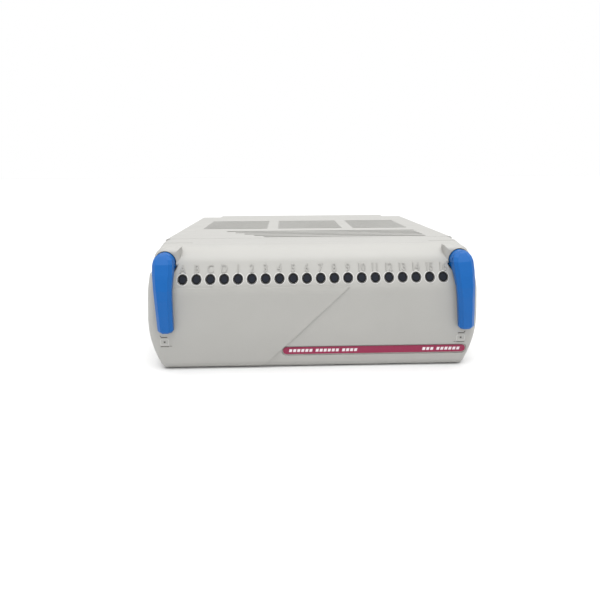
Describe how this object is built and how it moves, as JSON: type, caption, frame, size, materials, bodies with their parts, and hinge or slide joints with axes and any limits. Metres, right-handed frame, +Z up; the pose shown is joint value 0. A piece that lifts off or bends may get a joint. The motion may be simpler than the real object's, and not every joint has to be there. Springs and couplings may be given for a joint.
{
  "type": "plug-in input output module",
  "caption": "Flat grey rack module with vent grids, a row of round lamps across its tilted band, a blue quarter-turn latch at each end and plugs at the back.",
  "frame": {"origin": "middle of the flat underside of the case, measured across the width and along the body depth without the plugs and levers", "axes": "+X along the row of lamps to the right seen from the front, +Y from the front face to the plugs, +Z up out of the broad vented side"},
  "size_m": [0.1224, 0.1429, 0.045],
  "materials": {
    "case_plastic": "fine-grained light warm grey moulding",
    "latch_blue": "satin blue moulding",
    "shaft_steel": "turned and zinc plated",
    "screw_steel": "zinc plated",
    "bush_plastic": "natural acetal",
    "lamp_lens": "dark smoked lens, unlit",
    "holder_black": "moulded",
    "label_magenta": "printed film",
    "board_green": "solder-masked laminate",
    "spacer_brass": "nickel-free brass",
    "plug_plastic": "glass-filled moulding",
    "contact_gold": "gold plated",
    "solder_tin": "tinned",
    "chip_black": "moulded package",
    "converter_case": "potted case",
    "transformer_yellow": "taped winding",
    "capacitor_can": "bare can with a plain top",
    "protector_blue": "moulded package"
  },
  "bodies": {
    "case": {"board_screws": "screw_steel", "board_spacers": "spacer_brass", "bottom_shell": "case_plastic", "bus_plug_body": "plug_plastic", "bus_plug_contacts": "contact_gold", "bus_plug_tails": "solder_tin", "capacitors": "capacitor_can", "case_screws": "screw_steel", "channel_lamps": "lamp_lens", "clock_crystal": "capacitor_can", "field_board": "board_green", "field_plug_body": "plug_plastic", "field_plug_contacts": "contact_gold", "field_plug_tails": "solder_tin", "front_cover": "case_plastic", "isolation_transformers": "transformer_yellow", "label_strip": "label_magenta", "lamp_holder": "holder_black", "latch_bushes": "bush_plastic", "link_header": "plug_plastic", "link_socket": "plug_plastic", "logic_board": "board_green", "memory_chips": "chip_black", "optocouplers": "chip_black", "output_chips": "chip_black", "power_converter": "converter_case", "processor_chip": "chip_black", "rear_panel": "case_plastic", "rear_screws": "screw_steel", "status_lamps": "lamp_lens", "surge_protectors": "protector_blue", "top_shell": "case_plastic"},
    "left_latch": {"left_latch_clip": "screw_steel", "left_latch_lever": "latch_blue", "left_latch_pin": "shaft_steel", "left_latch_shaft": "shaft_steel"},
    "right_latch": {"right_latch_clip": "screw_steel", "right_latch_lever": "latch_blue", "right_latch_pin": "shaft_steel", "right_latch_shaft": "shaft_steel"}
  },
  "joints": [
    {"name": "left_latch_turn", "type": "hinge", "parent": "case", "child": "left_latch", "pos_m": [-0.0539, -0.066, 0.04], "axis": [0, 1, 0], "range_deg": [0, 90]},
    {"name": "right_latch_turn", "type": "hinge", "parent": "case", "child": "right_latch", "pos_m": [0.0539, -0.066, 0.04], "axis": [0, -1, 0], "range_deg": [-5, 85]}
  ]
}
